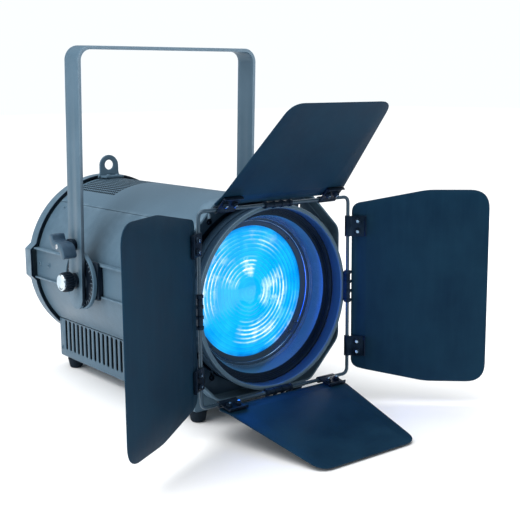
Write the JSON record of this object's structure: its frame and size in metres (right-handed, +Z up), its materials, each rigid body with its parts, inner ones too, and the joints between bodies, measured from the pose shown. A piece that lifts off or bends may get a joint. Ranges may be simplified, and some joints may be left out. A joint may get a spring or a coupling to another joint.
{
  "type": "fresnel spotlight",
  "caption": "LED stage fresnel spotlight: round barrel on a vented base, recessed stepped lens, square wire frame with folding barn-door leaves, and a flat-bar tilting yoke.",
  "frame": {"origin": "centre of the bounding box in plan, on the plane of the four rubber feet", "axes": "+Z up, -Y the way the beam leaves (front), +X to the right seen from in front along +Y"},
  "size_m": [0.5458, 0.6256, 0.4905],
  "materials": {
    "housing_paint": "satin slate-blue powder coat",
    "yoke_paint": "fine-textured slate powder coat",
    "leaf_paint": "matt dark blue-black heat-proof coat",
    "black_metal": "matt black",
    "black_plastic": "matt moulded",
    "rubber": "dull",
    "zinc": "zinc plated",
    "bare_aluminium": "mill finish",
    "lens_glass": "clear moulded",
    "lamp": "phosphor",
    "board_green": "solder mask",
    "supply_case": "stands for a light filled case"
  },
  "bodies": {
    "housing": {"top_shell": "housing_paint", "side_shell_left": "housing_paint", "side_shell_right": "housing_paint", "slide_rail_left": "housing_paint", "slide_rail_right": "housing_paint", "base_box": "housing_paint", "foot_front_left": "rubber", "foot_rear_left": "rubber", "foot_front_right": "rubber", "foot_rear_right": "rubber", "front_bezel": "housing_paint", "holder_ring": "housing_paint", "nose_baffle": "black_metal", "lens_retainer": "black_metal", "fresnel_lens": "lens_glass", "rear_cap": "housing_paint", "rear_panel": "black_metal", "display": "black_plastic", "power_sockets": "black_plastic", "data_sockets": "black_plastic", "control_board": "board_green", "safety_eye": "housing_paint", "rear_bulkhead": "zinc", "guide_rod_left": "zinc", "guide_rod_right": "zinc", "zoom_motor": "black_plastic", "power_supply": "supply_case"},
    "yoke_slide": {"slide_block_left": "black_plastic", "slide_block_right": "black_plastic", "friction_disc_left": "yoke_paint", "friction_disc_right": "yoke_paint"},
    "yoke": {"yoke": "yoke_paint"},
    "knob_left": {"pivot_knob_left": "black_plastic"},
    "knob_right": {"pivot_knob_right": "black_plastic"},
    "lever": {"tilt_lever": "black_plastic"},
    "barn_door": {"barn_ring": "housing_paint", "wire_frame": "housing_paint"},
    "carriage": {"carriage_plate": "bare_aluminium", "led_module": "lamp", "led_reflector": "bare_aluminium", "heat_sink": "bare_aluminium", "fan_frame": "black_plastic"},
    "lead_screw": {"lead_screw": "zinc"},
    "fan": {"fan_rotor": "black_plastic"},
    "leaf_top": {"leaf_top": "leaf_paint", "clip_top_a": "black_metal", "clip_top_b": "black_metal"},
    "leaf_bottom": {"leaf_bottom": "leaf_paint", "clip_bottom_a": "black_metal", "clip_bottom_b": "black_metal"},
    "leaf_left": {"leaf_left": "leaf_paint", "clip_left_a": "black_metal", "clip_left_b": "black_metal"},
    "leaf_right": {"leaf_right": "leaf_paint", "clip_right_a": "black_metal", "clip_right_b": "black_metal"},
    "button_1": {"menu_button_1": "rubber"},
    "button_2": {"menu_button_2": "rubber"},
    "button_3": {"menu_button_3": "rubber"},
    "button_4": {"menu_button_4": "rubber"}
  },
  "joints": [
    {"name": "yoke_slide", "type": "slide", "parent": "housing", "child": "yoke_slide", "axis": [0, 1, 0], "range_m": [-0.04, 0.06]},
    {"name": "yoke_tilt", "type": "hinge", "parent": "yoke_slide", "child": "yoke", "pos_m": [0.01235, 0.12567, 0.167], "axis": [1, 0, 0], "range_deg": [-110, 25]},
    {"name": "knob_left_turn", "type": "hinge", "parent": "yoke", "child": "knob_left", "pos_m": [-0.14766, 0.12567, 0.167], "axis": [-1, 0, 0], "range_deg": [-540, 180]},
    {"name": "knob_right_turn", "type": "hinge", "parent": "yoke", "child": "knob_right", "pos_m": [0.17234, 0.12567, 0.167], "axis": [1, 0, 0], "range_deg": [-540, 180]},
    {"name": "lever_turn", "type": "hinge", "parent": "yoke", "child": "lever", "pos_m": [-0.14766, 0.1236, 0.21846], "axis": [-1, 0, 0], "range_deg": [-60, 60]},
    {"name": "barn_door_turn", "type": "hinge", "parent": "housing", "child": "barn_door", "pos_m": [0.01235, -0.13883, 0.164], "axis": [0, -1, 0], "range_deg": [-180, 180]},
    {"name": "leaf_top_fold", "type": "hinge", "parent": "barn_door", "child": "leaf_top", "pos_m": [0.01235, -0.13883, 0.2865], "axis": [1, 0, 0], "range_deg": [-52, 56]},
    {"name": "leaf_bottom_fold", "type": "hinge", "parent": "barn_door", "child": "leaf_bottom", "pos_m": [0.01235, -0.13883, 0.0415], "axis": [-1, 0, 0], "range_deg": [-85.5, 22.5]},
    {"name": "leaf_left_fold", "type": "hinge", "parent": "barn_door", "child": "leaf_left", "pos_m": [-0.11016, -0.13883, 0.164], "axis": [0, 0, 1], "range_deg": [-38.3, 69.7]},
    {"name": "leaf_right_fold", "type": "hinge", "parent": "barn_door", "child": "leaf_right", "pos_m": [0.13484, -0.13883, 0.164], "axis": [0, 0, -1], "range_deg": [-51, 57]},
    {"name": "zoom_slide", "type": "slide", "parent": "housing", "child": "carriage", "axis": [0, 1, 0], "range_m": [-0.04, 0.04]},
    {"name": "lead_screw_turn", "type": "hinge", "parent": "housing", "child": "lead_screw", "pos_m": [0.01235, 0.06117, 0.259], "axis": [0, 1, 0], "range_deg": [-1801, 1801]},
    {"name": "fan_spin", "type": "hinge", "parent": "carriage", "child": "fan", "pos_m": [0.01235, 0.11717, 0.164], "axis": [0, 1, 0], "continuous": true},
    {"name": "button_1_press", "type": "slide", "parent": "housing", "child": "button_1", "axis": [0, -1, 0], "range_m": [0, 0.0012], "stiffness_N_per_m": 400},
    {"name": "button_2_press", "type": "slide", "parent": "housing", "child": "button_2", "axis": [0, -1, 0], "range_m": [0, 0.0012], "stiffness_N_per_m": 400},
    {"name": "button_3_press", "type": "slide", "parent": "housing", "child": "button_3", "axis": [0, -1, 0], "range_m": [0, 0.0012], "stiffness_N_per_m": 400},
    {"name": "button_4_press", "type": "slide", "parent": "housing", "child": "button_4", "axis": [0, -1, 0], "range_m": [0, 0.0012], "stiffness_N_per_m": 400}
  ],
  "couplings": [
    {"joint": "lead_screw_turn", "follows": "zoom_slide", "rad_per_m": 785.4}
  ]
}
